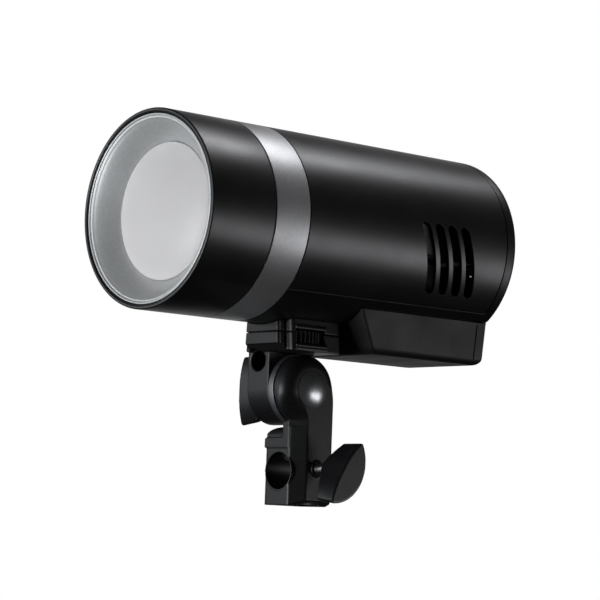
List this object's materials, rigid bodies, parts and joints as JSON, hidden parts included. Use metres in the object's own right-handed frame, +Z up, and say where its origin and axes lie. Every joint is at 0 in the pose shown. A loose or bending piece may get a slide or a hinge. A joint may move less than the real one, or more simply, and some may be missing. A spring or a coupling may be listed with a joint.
{
  "type": "monolight strobe",
  "caption": "Battery monolight strobe: round lamp head with a frosted front, side vents and rear controls, on a tilting bracket with a clamped stand socket.",
  "frame": {"origin": "centre of the flat seat at the top of the stand socket's blind upright bore, where the end of the stand's stud stops, on the bore's axis", "axes": "+Z up along the stand socket's bore, -Y the way the light shines, +X the side that carries the bracket arm and the stand clamp handle"},
  "size_m": [0.085, 0.19, 0.163],
  "materials": {
    "black_anodised": "fine satin black anodised",
    "silver_anodised": "satin silver anodised",
    "black_plastic": "fine textured black moulding",
    "grey_plastic": "fine textured dark grey moulding",
    "cast_black": "matt black coated casting",
    "reflector": "satin silver spun reflector",
    "opal": "frosted opal diffuser",
    "clear": "clear",
    "screen": "dark display",
    "steel": "bright zinc plated",
    "circuit": "green circuit board",
    "ceramic": "unglazed ceramic white",
    "led": "yellow phosphor",
    "sleeve_blue": "shrink sleeve",
    "red_lens": "deep red lens",
    "light_grey": "light grey friction disc",
    "brass": "bare contact and winding metal"
  },
  "bodies": {
    "stand_bracket": {"bracket_arm": "cast_black", "pivot_bolt": "steel", "friction_washer": "light_grey"},
    "head": {"front_barrel": "black_anodised", "accent_ring": "silver_anodised", "main_housing": "black_anodised", "lower_cover": "black_plastic", "rear_bezel": "black_plastic", "rear_panel": "black_plastic", "display_window": "clear", "display_module": "screen", "sync_socket": "steel", "usb_socket": "steel", "sensor_window": "red_lens", "control_board": "circuit", "reflector_bowl": "reflector", "frosted_dome": "opal", "flash_tube": "clear", "modeling_led": "led", "lamp_base": "ceramic", "lamp_heat_sink": "silver_anodised", "front_bulkhead": "black_plastic", "trigger_coil": "ceramic", "capacitor_clamp": "black_plastic", "flash_capacitor_1": "sleeve_blue", "flash_capacitor_2": "sleeve_blue", "flash_capacitor_3": "sleeve_blue", "power_board": "circuit", "charge_transformer": "brass", "transistor_heat_sink": "silver_anodised", "fan_frame": "black_plastic", "battery_bay": "black_plastic", "battery_terminal_1": "brass", "battery_terminal_2": "brass", "mounting_foot": "cast_black", "quick_release_plate": "cast_black"},
    "tilt_lever": {"tilt_lock_handle": "black_plastic"},
    "stand_clamp": {"clamp_screw": "steel", "clamp_handle": "black_plastic"},
    "plate_wheel": {"lock_thumbwheel": "grey_plastic", "wheel_screw": "steel"},
    "dial": {"select_dial": "black_plastic"},
    "set_key": {"set_button": "grey_plastic"},
    "mode_key": {"mode_button": "grey_plastic"},
    "menu_key": {"menu_button": "grey_plastic"},
    "group_key": {"group_button": "grey_plastic"},
    "lamp_key": {"lamp_button": "grey_plastic"},
    "test_key": {"test_button": "grey_plastic"},
    "power_key": {"power_button": "grey_plastic"},
    "battery": {"battery_case": "grey_plastic", "battery_lid": "grey_plastic", "battery_cell_1": "sleeve_blue", "battery_cell_2": "sleeve_blue", "battery_cell_3": "sleeve_blue", "battery_cell_4": "sleeve_blue"},
    "pack_latch": {"battery_latch": "black_plastic"},
    "fan": {"fan_rotor": "black_plastic"}
  },
  "joints": [
    {"name": "head_tilt", "type": "hinge", "parent": "stand_bracket", "child": "head", "pos_m": [0, -0.0042, 0.0215], "axis": [1, 0, 0], "range_deg": [-80, 90]},
    {"name": "tilt_lock_turn", "type": "hinge", "parent": "stand_bracket", "child": "tilt_lever", "pos_m": [0, -0.0042, 0.0215], "axis": [-1, 0, 0], "range_deg": [0, 90]},
    {"name": "stand_clamp_turn", "type": "hinge", "parent": "stand_bracket", "child": "stand_clamp", "pos_m": [0.0234, 0, -0.0129], "axis": [1, 0, 0], "range_deg": [0, 180]},
    {"name": "plate_wheel_turn", "type": "hinge", "parent": "head", "child": "plate_wheel", "pos_m": [0, -0.0089, 0.0409], "axis": [0, 0, 1], "range_deg": [0, 720]},
    {"name": "dial_turn", "type": "hinge", "parent": "head", "child": "dial", "pos_m": [0, 0.0976, 0.0915], "axis": [0, 1, 0], "continuous": true},
    {"name": "set_press", "type": "slide", "parent": "head", "child": "set_key", "axis": [0, -1, 0], "range_m": [0, 0.0009], "stiffness_N_per_m": 300},
    {"name": "mode_press", "type": "slide", "parent": "head", "child": "mode_key", "axis": [0, -1, 0], "range_m": [0, 0.0009], "stiffness_N_per_m": 300},
    {"name": "menu_press", "type": "slide", "parent": "head", "child": "menu_key", "axis": [0, -1, 0], "range_m": [0, 0.0009], "stiffness_N_per_m": 300},
    {"name": "group_press", "type": "slide", "parent": "head", "child": "group_key", "axis": [0, -1, 0], "range_m": [0, 0.0009], "stiffness_N_per_m": 300},
    {"name": "lamp_press", "type": "slide", "parent": "head", "child": "lamp_key", "axis": [0, -1, 0], "range_m": [0, 0.0009], "stiffness_N_per_m": 300},
    {"name": "test_press", "type": "slide", "parent": "head", "child": "test_key", "axis": [0, -1, 0], "range_m": [0, 0.0009], "stiffness_N_per_m": 300},
    {"name": "power_press", "type": "slide", "parent": "head", "child": "power_key", "axis": [0, -1, 0], "range_m": [0, 0.0009], "stiffness_N_per_m": 300},
    {"name": "battery_slide", "type": "slide", "parent": "head", "child": "battery", "axis": [0, 1, 0], "range_m": [0, 0.085]},
    {"name": "latch_press", "type": "slide", "parent": "battery", "child": "pack_latch", "axis": [0, -1, 0], "range_m": [0, 0.0012], "stiffness_N_per_m": 300},
    {"name": "fan_spin", "type": "hinge", "parent": "head", "child": "fan", "pos_m": [0, 0.0226, 0.1055], "axis": [0, 1, 0], "continuous": true}
  ]
}
